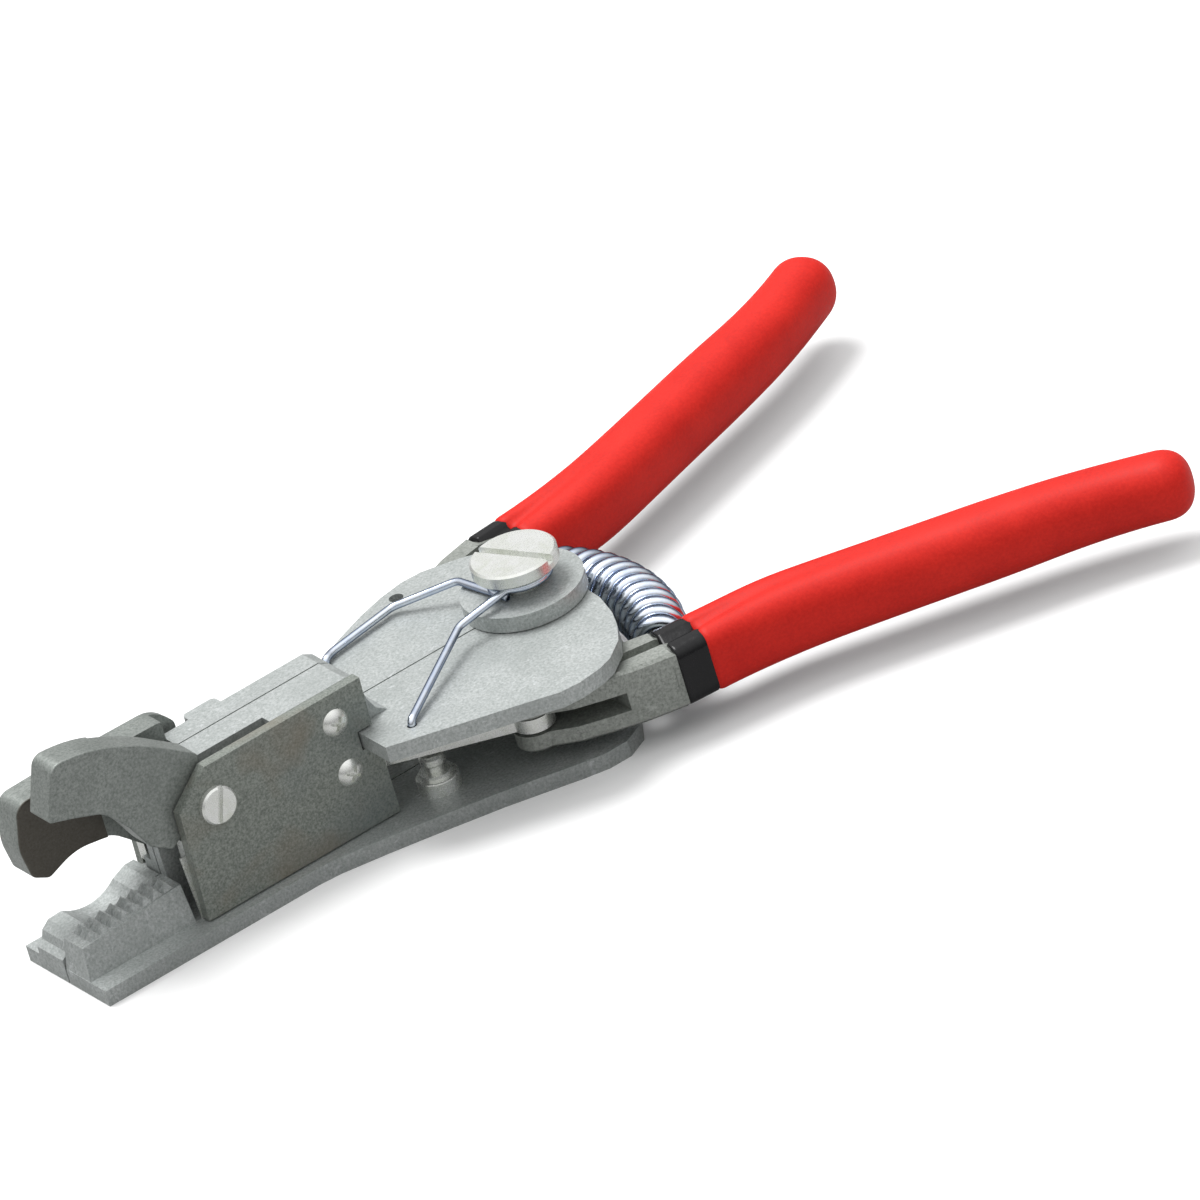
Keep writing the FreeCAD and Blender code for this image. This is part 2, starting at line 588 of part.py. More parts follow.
def handle_arm(side):
    """Hub, web, fork, spring peg and tang of one handle, in one casting. The two hubs lie one above the other."""
    arm = prism(arm_outline(), arm_floor, arm_top)
    long_edges = [e for e in arm.Edges if abs(e.Vertexes[0].Z - e.Vertexes[1].Z) < 1e-6]
    arm = arm.makeChamfer(0.5, long_edges)
    low, high = (hub_split + running_gap / 2, arm_top) if side == NEAR else (arm_floor, hub_split - running_gap / 2)
    hub = post(handle_hub_r, low, high)
    web = prism([(-8.3, -1.0), (-9.6, -16.0), (-3.0, -19.0), (4.2, -21.0), (7.8, -3.0)], low, high)
    tang = handle_loft(tang_stations(0.0)[1:])
    shoulder = handle_loft([tang_stations(0.0)[0], tang_stations(0.0)[1]])
    solid = joined(arm, hub, web, shoulder, tang, spring_peg(peg_r))
    solid = solid.cut(post(bore_r, 0, nose_top))
    solid = solid.cut(post(link_pin_r, 0, nose_top, fork_x, -fork_y))
    slot = prism([(-25.0, -10.0), (-25.0, -40.0), (-1.2, -40.0), (-1.2, -22.0), (-8.5, -10.0)], slot_floor, slot_roof)
    solid = solid.cut(slot.cut(post(handle_hub_r + 0.4, 0, nose_top)))
    for z in (arm_top, arm_floor):
        up = 1 if z == arm_top else -1
        groove = prism([(0.5, -22.6), (0.9, -24.9), (band_start + 5.0, handle_line(band_start + 5.0) - 1.2),
                        (band_start + 5.0, handle_line(band_start + 5.0) + 1.2)],
                       z - rib_groove_depth if up > 0 else z - 1, z + 1 if up > 0 else z + rib_groove_depth)
        solid = solid.cut(groove)
    return flip(solid, side)


def handle_band(side):
    """The black undercoat that shows ahead of the grip."""
    half_height = (arm_top - arm_floor) / 2
    outer = handle_loft([(band_start, arm_width / 2 + band_coat, half_height + band_coat, 4.0),
                         (grip_start, grip_half_width * 0.90 - 0.3, grip_half_height * 0.86 - 0.2, 3.4)])
    core = handle_loft(tang_stations(coat_play)[:2])
    return flip(outer.cut(core).cut(spring_peg(peg_r + coat_play)), side)


def handle_grip(side):
    """The dipped coating of a handle, closed at its end."""
    return flip(grip_solid().cut(handle_loft(tang_stations(coat_play)[1:])), side)


# ---- springs ----
def handle_spring():
    """The arched coil spring that opens the handles, as the solid arc that its turns fill."""
    start = math.radians(-arch_half_angle)
    middle = (arm_floor + arm_top) / 2
    stations = [(a, V(arch_centre_x + arch_radius * math.cos(a), arch_radius * math.sin(a), middle))
                for a in (start, 0.0, -start)]
    path = Part.Wire(Part.Arc(*[point for a, point in stations]).toShape())
    outer = []
    inner = []
    for (a, point), radius in zip(stations, (coil_end_r, coil_r, coil_end_r)):
        heading = V(-math.sin(a), math.cos(a), 0)
        outer.append(Part.Wire(Part.Circle(point, heading, radius).toShape()))
        inner.append(Part.Wire(Part.Circle(point, heading, peg_r + 0.3).toShape()))
    tube = path.makePipeShell(outer, True, False)
    core = path.makePipeShell(inner, True, False)
    return tube.cut(core)


def frame_spring():
    """The V-shaped wire spring that holds the frames together: a coil under the bolt's head and two long legs."""
    low = boss_top + 0.15
    coil = post(frame_coil_r + wire_r, low, low + 4 * wire_r)
    coil = coil.cut(post(frame_coil_r - wire_r, low - 1, low + 4 * wire_r + 1))
    first = low + wire_r
    second = low + 3 * wire_r
    rest = top_face + wire_r + 0.2
    right = [V(-4.1, -2.9, first), V(-14.0, -3.2, first), V(-32.5, -15.6, rest), V(-32.5, -15.6, top_floor + 0.4)]
    left = [V(-4.1, -2.9, second), V(-5.8, 9.4, second - 0.4), V(-16.4, 13.2, rest + 0.7), V(-30.5, 12.6, rest + 0.3),
            V(-30.5, 12.6, top_floor + 0.4)]
    pieces = [coil]
    for leg in (right, left):
        for a, b in zip(leg, leg[1:]):
            pieces.append(Part.makeCylinder(wire_r, (b - a).Length, a, b - a))
            pieces.append(Part.makeSphere(wire_r, b))
    return joined(*pieces)


def main():
    os.makedirs("parts", exist_ok=True)
    shapes = {"pivot_bolt": pivot_bolt(), "handle_spring": handle_spring(), "frame_spring": frame_spring(),
              "near_guide_strip": guide_strip()}
    for side, name in ((NEAR, "near"), (FAR, "far")):
        shapes[name + "_frame_casting"] = frame(side)
        shapes[name + "_side_plate"] = side_plate(side)
        shapes[name + "_jaw_screw"] = jaw_screw(side)
        shapes[name + "_plate_screws"] = plate_screws(side)
        shapes[name + "_guide_stud"] = guide_stud(side)
        shapes[name + "_upper_jaw"] = upper_jaw(side)
        shapes[name + "_drive_pin"] = drive_pin(side)
        shapes[name + "_link"] = link(side)
        shapes[name + "_link_pin"] = link_pin(side)
        shapes[name + "_handle_arm"] = handle_arm(side)
        shapes[name + "_handle_band"] = handle_band(side)
        shapes[name + "_handle_grip"] = handle_grip(side)
    for name, shape in shapes.items():
        box = shape.BoundBox
        print(f"{name:22s} solids {len(shape.Solids)} valid {shape.isValid()} volume {shape.Volume:9.1f}"
              f"  x {box.XMin:6.1f} {box.XMax:6.1f} y {box.YMin:6.1f} {box.YMax:6.1f} z {box.ZMin:5.1f} {box.ZMax:5.1f}")
        shape.exportStep("parts/" + name + ".step")


main()
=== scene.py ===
import bpy
import math
import numpy as np
from mathutils import Matrix, Vector


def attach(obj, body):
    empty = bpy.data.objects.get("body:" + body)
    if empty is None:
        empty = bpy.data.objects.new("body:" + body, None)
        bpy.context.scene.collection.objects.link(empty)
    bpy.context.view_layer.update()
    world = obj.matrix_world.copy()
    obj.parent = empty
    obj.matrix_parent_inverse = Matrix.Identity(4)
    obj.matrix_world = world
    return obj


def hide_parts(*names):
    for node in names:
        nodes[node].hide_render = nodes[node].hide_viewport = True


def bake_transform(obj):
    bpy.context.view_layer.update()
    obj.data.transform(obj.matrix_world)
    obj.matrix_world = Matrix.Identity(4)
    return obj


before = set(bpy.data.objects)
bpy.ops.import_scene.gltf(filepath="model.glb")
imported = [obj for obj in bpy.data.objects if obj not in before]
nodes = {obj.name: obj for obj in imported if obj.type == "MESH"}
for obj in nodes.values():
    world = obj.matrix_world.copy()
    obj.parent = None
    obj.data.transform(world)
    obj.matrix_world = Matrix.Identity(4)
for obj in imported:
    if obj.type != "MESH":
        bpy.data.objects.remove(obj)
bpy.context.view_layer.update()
MM = 0.001                      # shapes are worked out in millimetres, meshes are in metres

# ---- the handles, in millimetres, as the castings have them ----
HANDLE_MIDDLE = 10.8            # height of a handle's centre line
LINE_FROM = 14.0                # X where the centre line is LINE_START from the parting line
LINE_START = 26.5
LINE_SLOPE = 0.12
BEND_AT = 27.0                  # X where it bends outwards by BEND_SLOPE, spread over a few times BEND_SPREAD
BEND_SPREAD = 3.0
BEND_SLOPE = 0.25
FLARE_AT = 68.0                 # X past which it flares by FLARE times the square of the way
FLARE = 0.0065

# ---- the black bands and the red grips on them ----
BAND_FRONT = 8.0
BAND_LENGTH = 8.0
BAND_EDGE = 0.5                 # length of the band's rolled front edge
BAND_HALF_WIDTH = 5.3
BAND_HALF_HEIGHT = 5.45
BAND_GROOVE = 1.75              # depth of the groove between the arm's two rails
GRIP_FRONT = 13.2
GRIP_END = 90.3
GRIP_LIP = 1.3                  # length of the grip's rolled lip
GRIP_DOME = 4.6                 # length of its rounded end
GRIP_HALF_WIDTH = 5.9
GRIP_HALF_HEIGHT = 6.1
GRIP_CREASE = 1.15              # depth of the crease at the lip
GRIP_HOLLOW = 0.28              # depth of the faint hollow that carries on behind it

# ---- the arched spring between the handles: a coil about an arc of a circle, with its angles in degrees ----
ARCH_CENTRE = -19.6             # X of the circle's centre, on the parting line
ARCH_RADIUS = 36.0
ARCH_HALF_ANGLE = 32.2
ARCH_TURNS = 15
ARCH_STEPS = 36                 # points along each turn
ARCH_WIRE = 0.93                # radius of the wire
ARCH_COIL = 2.85                # radius of a turn at the very ends, and how much more it has in the middle
ARCH_SWELL = 1.55
ARCH_SPLIT = 10.4               # where the arc is split between its near, middle and far pieces

# ---- the V spring about the bolt ----
V_WIRE = 0.65                   # radius of the wire
V_COIL = 5.0                    # radius of its turn
V_COIL_TOP = 24.15              # height of the turn where it starts, and where it ends
V_COIL_FOOT = 22.9
V_TURN_START = 218              # in degrees, as is the sweep
V_TURN_SWEEP = 352
V_TURN_STEPS = 60
V_CORNER = 0.9                  # how far from a corner the wire starts to bend
V_STEP = 0.35                   # distance between points along the wire


# ---------------------------------------------------------------- meshes
def smooth(t):
    """0 to 1 with level ends: 3t^2 - 2t^3."""
    t = np.clip(t, 0.0, 1.0)
    return t * t * (3.0 - 2.0 * t)


def quarter_round(t):
    """0 to 1 as a quarter circle rises: the root of 1 - (1 - t)^2."""
    return np.sqrt(1 - (1 - np.clip(t, 0, 1)) ** 2)


def skin(name, rings, material):
    """A closed skin through rings of points (row, column, xyz) in mm, with both ends closed to their middles.
    Faces are turned outwards by the sign of the enclosed volume."""
    rows, columns, _ = rings.shape
    points = np.concatenate([rings.reshape(-1, 3), rings[:1].mean(axis=1), rings[-1:].mean(axis=1)]) * MM
    row, column = np.meshgrid(np.arange(rows - 1), np.arange(columns), indexing="ij")
    after = (column + 1) % columns
    quads = np.stack([row * columns + column, row * columns + after,
                      (row + 1) * columns + after, (row + 1) * columns + column], axis=-1).reshape(-1, 4)
    rim = np.arange(columns)
    turn = (rim + 1) % columns
    first = rows * columns
    last = (rows - 1) * columns
    caps = np.concatenate([np.stack([turn, rim, np.full(columns, first)], axis=-1),
                           np.stack([last + rim, last + turn, np.full(columns, first + 1)], axis=-1)])
    tris = np.concatenate([quads[:, [0, 1, 2]], quads[:, [0, 2, 3]], caps])
    a, b, c = points[tris[:, 0]], points[tris[:, 1]], points[tris[:, 2]]
    if np.einsum("ij,ij->i", a, np.cross(b, c)).sum() < 0:
        quads = quads[:, ::-1]
        caps = caps[:, ::-1]
    mesh = bpy.data.meshes.new(name)
    mesh.from_pydata(points.tolist(), [], quads.tolist() + caps.tolist())
    mesh.polygons.foreach_set("use_smooth", np.ones(len(mesh.polygons), dtype=bool))
    mesh.update()
    piece = bpy.data.objects.new(name, mesh)
    bpy.context.scene.collection.objects.link(piece)
    mesh.materials.append(material)
    return piece


def wire(path, across, radius, sides=12):
    """Rings of a round wire along path. across is one vector per point, roughly square to the path:
    the ring is radius * (cos a * n + sin a * b), with n and b square to the path."""
    tangent = np.gradient(path, axis=0)
    tangent /= np.linalg.norm(tangent, axis=1, keepdims=True)
    n = across - tangent * np.einsum("ij,ij->i", across, tangent)[:, None]
    n /= np.linalg.norm(n, axis=1, keepdims=True)
    b = np.cross(tangent, n)
    a = np.linspace(0, 2 * math.pi, sides, endpoint=False)[None, :, None]
    radius = np.broadcast_to(radius, len(path))[:, None, None]
    return path[:, None, :] + radius * (np.cos(a) * n[:, None, :] + np.sin(a) * b[:, None, :])


def rounded(corners, reach, count=9):
    """A polyline with its corners turned into parabolas that start and end reach before and after each corner."""
    corners = np.asarray(corners, dtype=float)
    pieces = [corners[:1]]
    t = np.linspace(0, 1, count)[:, None]
    for before, at, after in zip(corners, corners[1:], corners[2:]):
        left = at + (before - at) * min(0.48, reach / np.linalg.norm(before - at))
        right = at + (after - at) * min(0.48, reach / np.linalg.norm(after - at))
        pieces.append((1 - t) ** 2 * left + 2 * t * (1 - t) * at + t ** 2 * right)
    pieces.append(corners[-1:])
    return np.concatenate(pieces)


def spaced(path, step):
    """The same path with points every step mm along it."""
    length = np.concatenate([[0], np.cumsum(np.linalg.norm(np.diff(path, axis=0), axis=1))])
    at = np.linspace(0, length[-1], int(length[-1] / step) + 1)
    return np.stack([np.interp(at, length, path[:, k]) for k in range(3)], axis=-1)


# ---------------------------------------------------------------- grips and bands
def handle_line(s):
    """Distance of a handle's centre line from the parting line at X = s: a straight run, a bend by the soft ramp
    spread * log(1 + e^((s - at) / spread)), and a flare that grows as a square."""
    bend = BEND_SPREAD * np.log1p(np.exp((s - BEND_AT) / BEND_SPREAD))
    flare = FLARE * np.maximum(s - FLARE_AT, 0.0) ** 2
    return LINE_START + LINE_SLOPE * (s - LINE_FROM) + BEND_SLOPE * bend + flare


def around_handle(s, across, up, side):
    """Points across and up from the centre line at s, square to it in plan. The slope is the rise over 1 mm."""
    slope = handle_line(s + 0.5) - handle_line(s - 0.5)
    length = np.hypot(1.0, slope)
    x = s - slope / length * across
    y = side * (handle_line(s) + across / length)
    return np.stack([x, y, HANDLE_MIDDLE + up], axis=-1)


def box_section(angle, half_width, half_height, fullness):
    """A rounded box: w * sgn(cos) |cos|^(2/n) across and h * sgn(sin) |sin|^(2/n) up."""
    c, s = np.cos(angle), np.sin(angle)
    return (half_width * np.sign(c) * np.abs(c) ** (2.0 / fullness),
            half_height * np.sign(s) * np.abs(s) ** (2.0 / fullness))


def grip(side, name, material):
    """The dipped coating: rounded boxes along the centre line, which fill out behind the lip and get slimmer towards
    the far end. A crease along its top and bottom parts it into two lobes in front: a bell curve across, whose depth
    falls by e every 9 mm, with a faint hollow that ends at 34 mm. The lip is a quarter circle. The far end closes
    by (1 - u^2.5)^0.4, with u the share of the dome."""
    length = GRIP_END - GRIP_FRONT
    lip = GRIP_LIP * (1 - np.cos(np.linspace(0, math.pi / 2, 10)))
    straight = np.linspace(GRIP_LIP + 0.5, length - GRIP_DOME, 96)
    dome = length - GRIP_DOME + GRIP_DOME * np.sin(np.linspace(0.06, math.pi / 2 - 0.01, 22))
    run = np.concatenate([lip, straight, dome])[:, None]
    angle = np.linspace(0, 2 * math.pi, 128, endpoint=False)[None, :]
    filled = smooth(run / 16.0)
    slimmed = smooth((run - 44.0) / 30.0)
    width = GRIP_HALF_WIDTH * (0.94 + 0.07 * filled - 0.11 * slimmed)
    height = GRIP_HALF_HEIGHT * (0.94 + 0.06 * filled - 0.10 * slimmed)
    rolled = 0.87 + 0.13 * quarter_round(run / GRIP_LIP)
    end = np.clip(1 - np.clip((run - length + GRIP_DOME) / GRIP_DOME, 0, 1) ** 2.5, 0, 1) ** 0.4
    fullness = 2.25 + 1.5 * np.exp(-run / 13.0)
    across, up = box_section(angle, width * rolled * end, height * rolled * end, fullness)
    crease_at, crease_width = 0.3, 1.25
    crease = np.exp(-(np.abs(across - crease_at) / crease_width) ** 2) * np.sign(up)
    up = up - crease * (GRIP_CREASE * np.exp(-run / 9.0) + GRIP_HOLLOW * (1 - smooth(run / 34.0))) * end
    notch = 0.7 * np.abs(crease) * (1 - smooth(run / 6.0))
    return skin(name, around_handle(GRIP_FRONT + run + notch, across, up, side), material)


def band(side, name, material):
    """The black undercoat, ahead of the grip: nearly square boxes along the centre line, with a groove between the
    arm's two rails that is flat in the bottom, e^-(distance^4). Under the grip it is a tenth smaller."""
    front = BAND_EDGE * (1 - np.cos(np.linspace(0, math.pi / 2, 6)))
    run = np.concatenate([front, np.linspace(0.7, BAND_LENGTH, 14)])[:, None]
    angle = np.linspace(0, 2 * math.pi, 160, endpoint=False)[None, :]
    rolled = 0.93 + 0.07 * quarter_round(run / BAND_EDGE)
    under = 1 - 0.10 * smooth((run - 5.0) / 1.6)
    width = (BAND_HALF_WIDTH - 0.03 * run) * rolled * under
    across, up = box_section(angle, width, BAND_HALF_HEIGHT * rolled * under, 4.6)
    groove_at = 0.3 + 0.17 * (1 - run / 5.0)
    groove = np.exp(-np.abs(across - groove_at) ** 4) * np.sign(up)
    up = up - groove * BAND_GROOVE * under
    return skin(name, around_handle(BAND_FRONT + run, across, up, side), material)


# ---------------------------------------------------------------- springs
def arch_coil(name, start, end, material):
    """Part of the arched coil spring, from angle start to angle end: turns about a circular arc, fuller in the middle
    than at the ends. The wire's middle is arc(t) + r(t) * (cos p * outward + sin p * up), with p going round
    ARCH_TURNS times over the whole arc, and r(t) the end's radius plus the swell times a half ellipse."""
    turns = abs(end - start) / (2 * ARCH_HALF_ANGLE) * ARCH_TURNS
    t = np.radians(np.linspace(start, end, int(turns * ARCH_STEPS) + 1))
    outward = np.stack([np.cos(t), np.sin(t), np.zeros_like(t)], axis=-1)
    middle = outward * ARCH_RADIUS + np.array([ARCH_CENTRE, 0.0, HANDLE_MIDDLE])
    share = t / math.radians(ARCH_HALF_ANGLE)
    radius = ARCH_COIL + ARCH_SWELL * np.sqrt(np.clip(1 - 0.94 * share ** 2, 0, 1))
    phase = share * ARCH_TURNS * math.pi
    away = np.cos(phase)[:, None] * outward + np.sin(phase)[:, None] * np.array([0.0, 0.0, 1.0])
    path = middle + radius[:, None] * away
    return skin(name, wire(path, away, ARCH_WIRE, 16), material)


def frame_coil(name, material):
    """The V spring: up out of the near plate, in to the bolt, one turn about it that sinks by the wire's thickness,
    out to the far plate and down. Its legs are straight runs with rounded corners."""
    turn = np.radians(np.linspace(V_TURN_START, V_TURN_START + V_TURN_SWEEP, V_TURN_STEPS))
    sinking = np.linspace(V_COIL_TOP, V_COIL_FOOT, V_TURN_STEPS)
    coil = np.stack([V_COIL * np.cos(turn), V_COIL * np.sin(turn), sinking], axis=-1)
    near_leg = rounded([(-32.46, -15.57, 17.2), (-32.5, -15.6, 20.0), (-14.0, -3.2, 22.9), (-4.3, -2.9, V_COIL_TOP),
                        coil[0], coil[3]], V_CORNER)
    far_leg = rounded([coil[-4], coil[-1], (-4.3, -3.0, 22.8), (-6.4, 8.8, 22.95), (-15.2, 15.9, 20.4),
                       (-28.4, 13.7, 20.1), (-30.5, 12.6, 20.1), (-30.54, 12.6, 17.2)], V_CORNER)
    path = spaced(np.concatenate([near_leg[:-1], coil[4:-5], far_leg[1:]]), V_STEP)
    ahead = np.gradient(path, axis=0)
    sideways = np.stack([-ahead[:, 1], ahead[:, 0], np.zeros(len(path))], axis=-1)
    return skin(name, wire(path, sideways, V_WIRE, 12), material)


# ---------------------------------------------------------------- materials
def node_of(tree, kind, **values):
    """A new node. Each value goes to the input of that name, or else to the setting of that name."""
    node = tree.nodes.new(kind)
    for key, value in values.items():
        if key in node.inputs:
            node.inputs[key].default_value = value
        else:
            setattr(node, key, value)
    return node


def millimetres(tree):
    """Object coordinates in millimetres."""
    place = tree.nodes.new("ShaderNodeTexCoord")
    mapping = tree.nodes.new("ShaderNodeMapping")
    mapping.inputs["Scale"].default_value = (1000.0, 1000.0, 1000.0)
    tree.links.new(place.outputs["Object"], mapping.inputs["Vector"])
    return mapping.outputs["Vector"]


def noise(tree, vector, per_mm, detail, rough, distort=0.0):
    """A noise of 0 to 1 with per_mm cells to the millimetre."""
    node = node_of(tree, "ShaderNodeTexNoise", Scale=per_mm, Detail=detail, Roughness=rough, Distortion=distort)
    tree.links.new(vector, node.inputs["Vector"])
    return node.outputs["Fac"]


def remap(tree, value, low, high, to_low, to_high):
    """Takes low..high to to_low..to_high in a straight line, and stops at both ends."""
    node = node_of(tree, "ShaderNodeMapRange")
    for index, number in enumerate((low, high, to_low, to_high)):
        node.inputs[index + 1].default_value = number
    tree.links.new(value, node.inputs[0])
    return node.outputs[0]


def mixed(tree, factor, first, second):
    """Colour mix. first and second are colours or sockets."""
    node = tree.nodes.new("ShaderNodeMix")
    node.data_type = "RGBA"
    tree.links.new(factor, node.inputs[0])
    for socket, value in ((node.inputs[6], first), (node.inputs[7], second)):
        if isinstance(value, tuple):
            socket.default_value = value
        else:
            tree.links.new(value, socket)
    return node.outputs[2]


def grain_group():
    """Fine speckle, broad mottling and scattered bright nicks of a metal skin, all 0 to 1, and their height."""
    group = bpy.data.node_groups.new("metal_grain", "ShaderNodeTree")
    for name, start in (("Speckle per mm", 2.2), ("Mottle per mm", 0.12), ("Nick amount", 0.5)):
        socket = group.interface.new_socket(name, in_out="INPUT", socket_type="NodeSocketFloat")
        socket.default_value = start
    for name in ("Speckle", "Mottle", "Nicks", "Height"):
        group.interface.new_socket(name, in_out="OUTPUT", socket_type="NodeSocketFloat")
    inside = group.nodes.new("NodeGroupInput")
    outside = group.nodes.new("NodeGroupOutput")
    place = millimetres(group)
    speckle = node_of(group, "ShaderNodeTexNoise", Detail=4.0, Roughness=0.72)
    mottle = node_of(group, "ShaderNodeTexNoise", Detail=3.0, Roughness=0.6, Distortion=0.6)
    nick = node_of(group, "ShaderNodeTexNoise", Scale=0.33, Detail=2.0, Roughness=0.5, Distortion=1.8)
    stretch = node_of(group, "ShaderNodeMapping")
    stretch.inputs["Scale"].default_value = (1.0, 2.4, 1.0)
    stretch.inputs["Rotation"].default_value = (0.0, 0.0, 0.5)
    for texture, source in ((speckle, place), (mottle, place), (nick, stretch.outputs[0])):
        group.links.new(source, texture.inputs["Vector"])
    group.links.new(place, stretch.inputs["Vector"])
    group.links.new(inside.outputs[0], speckle.inputs["Scale"])
    group.links.new(inside.outputs[1], mottle.inputs["Scale"])
    bright = remap(group, nick.outputs["Fac"], 0.66, 0.72, 0.0, 1.0)
    weighted = node_of(group, "ShaderNodeMath", operation="MULTIPLY")
    group.links.new(bright, weighted.inputs[0])
    group.links.new(inside.outputs[2], weighted.inputs[1])
    fine = remap(group, speckle.outputs["Fac"], 0.30, 0.70, 0.0, 1.0)
    broad = remap(group, mottle.outputs["Fac"], 0.30, 0.70, 0.0, 1.0)
    height = node_of(group, "ShaderNodeMath", operation="ADD")
    group.links.new(fine, height.inputs[0])
    group.links.new(broad, height.inputs[1])
    for index, source in enumerate((fine, broad, weighted.outputs[0], height.outputs[0])):
        group.links.new(source, outside.inputs[index])
    return group


GRAIN = grain_group()


def new_material(name):
    """A material with its node tree and its shader."""
    material = bpy.data.materials.new(name)
    material.use_nodes = True
    tree = material.node_tree
    shader = tree.nodes["Principled BSDF"]
    return material, tree, shader


def grain(tree, speckle, mottle, nicks):
    """The metal grain group with its three inputs set."""
    node = tree.nodes.new("ShaderNodeGroup")
    node.node_tree = GRAIN
    for index, value in enumerate((speckle, mottle, nicks)):
        node.inputs[index].default_value = value
    return node


def bump(tree, shader, height, strength, distance):
    """Relief on the shader's normal. The distance is in millimetres."""
    node = node_of(tree, "ShaderNodeBump", Strength=strength, Distance=distance * MM)
    tree.links.new(height, node.inputs["Height"])
    tree.links.new(node.outputs[0], shader.inputs["Normal"])


def grained_metal(name, dark, light, bright, metallic, rough, nicks, parting_shade=None):
    """Cast or forged metal: dark and light grains, broad mottling, bright nicks, and a fine relief.
    A painted shade darkens the skin beside the parting plane, from 1.8 mm inwards, where the two jaws shade each
    other."""
    material, tree, shader = new_material(name)
    surface = grain(tree, 2.2, 0.12, nicks)
    body = mixed(tree, surface.outputs["Speckle"], dark, light)
    shade = mixed(tree, remap(tree, surface.outputs["Mottle"], 0, 1, 0.0, 0.42), body, dark)
    colour = mixed(tree, surface.outputs["Nicks"], shade, bright)
    # painted shade: a dark brown mixed in beside the parting plane, where the jaws shade each other
    if parting_shade:
        axes = tree.nodes.new("ShaderNodeSeparateXYZ")
        tree.links.new(millimetres(tree), axes.inputs[0])
        away = node_of(tree, "ShaderNodeMath", operation="ABSOLUTE")
        tree.links.new(axes.outputs["Y"], away.inputs[0])
        colour = mixed(tree, remap(tree, away.outputs[0], 1.5, 1.8, 0.85, 0.0), colour, parting_shade)
    tree.links.new(colour, shader.inputs["Base Color"])
    shader.inputs["Metallic"].default_value = metallic
    worn = remap(tree, surface.outputs["Speckle"], 0, 1, rough + 0.08, rough - 0.08)
    tree.links.new(worn, shader.inputs["Roughness"])
    bump(tree, shader, surface.outputs["Height"], 0.6, 0.03)
    return material


def stained_plate(name):
    """The pressed side plate: dull grey-green, with broad clouds of a brown and of a blue tint."""
    material, tree, shader = new_material(name)
    surface = grain(tree, 2.6, 0.10, 0.25)
    body = mixed(tree, surface.outputs["Speckle"], (0.125, 0.140, 0.125, 1), (0.35, 0.375, 0.34, 1))
    place = millimetres(tree)
    brown = noise(tree, place, 0.085, 2.0, 0.5, 0.4)
    tinted = mixed(tree, remap(tree, brown, 0.52, 0.72, 0.0, 0.55), body, (0.23, 0.19, 0.14, 1))
    blue = noise(tree, place, 0.055, 1.0, 0.5, 0.2)
    colour = mixed(tree, remap(tree, blue, 0.52, 0.70, 0.0, 0.5), tinted, (0.17, 0.20, 0.21, 1))
    tree.links.new(colour, shader.inputs["Base Color"])
    shader.inputs["Metallic"].default_value = 0.5
    tree.links.new(remap(tree, surface.outputs["Speckle"], 0, 1, 0.54, 0.40), shader.inputs["Roughness"])
    bump(tree, shader, surface.outputs["Height"], 0.45, 0.025)
    return material


def plated(name, colour, tint, rough, rim=None, metallic=1.0):
    """Bright plating with a faint cloudy tint and a fine grain. A rim colour takes over at grazing angles, as a
    painted dark reflection.
    """
    material, tree, shader = new_material(name)
    place = millimetres(tree)
    cloud = noise(tree, place, 0.35, 3.0, 0.6, 0.5)
    skin_colour = mixed(tree, remap(tree, cloud, 0.4, 0.7, 0.0, 1.0), colour, tint)
    # painted reflection: the rim colour mixed in at grazing angles
    if rim:
        facing = node_of(tree, "ShaderNodeLayerWeight", Blend=0.5)
        skin_colour = mixed(tree, remap(tree, facing.outputs["Facing"], 0.20, 0.62, 0.0, 1.0), skin_colour, rim)
    tree.links.new(skin_colour, shader.inputs["Base Color"])
    shader.inputs["Metallic"].default_value = metallic
    fine = noise(tree, place, 3.0, 4.0, 0.7)
    tree.links.new(remap(tree, fine, 0.3, 0.7, rough - 0.05, rough + 0.08), shader.inputs["Roughness"])
    bump(tree, shader, fine, 0.2, 0.002)
    return material


def dipped(name, deep, pale, rough, relief, gloss, bounce=None):
    """Dipped vinyl: a skin with a fine orange-peel grain and slight clouding of its colour. Light that it throws on
    to other things takes the bounce colour."""
    material, tree, shader = new_material(name)
    place = millimetres(tree)
    cloud = noise(tree, place, 0.09, 3.0, 0.6, 0.4)
    fine = noise(tree, place, 1.9, 4.0, 0.7)
    both = node_of(tree, "ShaderNodeMath", operation="ADD")
    tree.links.new(remap(tree, cloud, 0.3, 0.7, 0.0, 0.5), both.inputs[0])
    tree.links.new(remap(tree, fine, 0.35, 0.65, 0.0, 0.5), both.inputs[1])
    colour = mixed(tree, both.outputs[0], deep, pale)
    if bounce:
        path = tree.nodes.new("ShaderNodeLightPath")
        colour = mixed(tree, path.outputs["Is Diffuse Ray"], colour, bounce)
    tree.links.new(colour, shader.inputs["Base Color"])
    tree.links.new(remap(tree, fine, 0.3, 0.7, rough - 0.06, rough + 0.08), shader.inputs["Roughness"])
    shader.inputs["Specular IOR Level"].default_value = gloss
    bump(tree, shader, fine, 0.6, relief)
    return material


